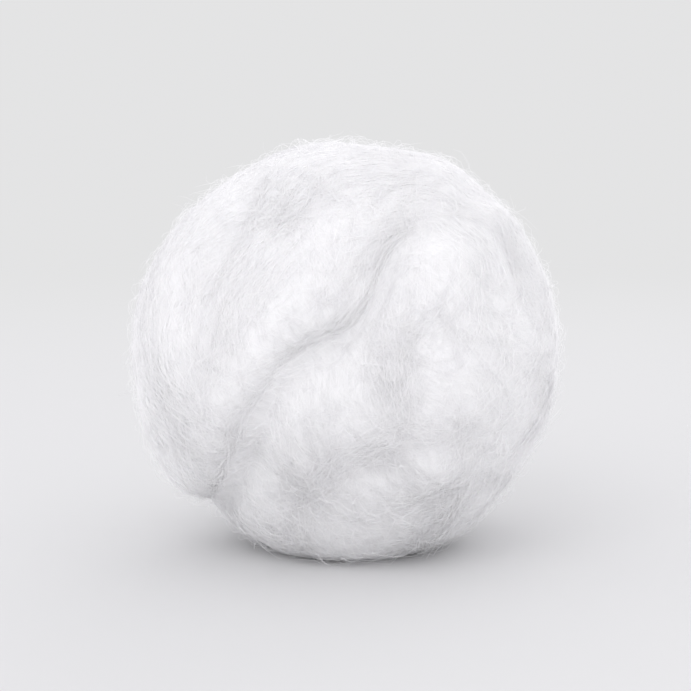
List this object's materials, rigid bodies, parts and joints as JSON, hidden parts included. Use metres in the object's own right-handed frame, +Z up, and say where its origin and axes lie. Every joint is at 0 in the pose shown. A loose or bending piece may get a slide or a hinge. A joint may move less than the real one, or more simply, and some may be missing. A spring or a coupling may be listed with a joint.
{
  "type": "cotton ball",
  "caption": "Soft round ball of carded cotton, rolled up from a short strip, with a lap across it, a whorl at each end of the roll and a small flat spot to rest on.",
  "frame": {"origin": "on the surface the ball rests on, under the middle of its width and depth", "axes": "+Z up, out of the rest spot; +X along the ball's width, its longest side; -Y towards the side that shows the lap"},
  "size_m": [0.0358, 0.035, 0.0344],
  "materials": {
    "cotton": "matte, soft white carded cotton fibre"
  },
  "bodies": {
    "root": {"cotton_ball": "cotton"}
  },
  "joints": []
}
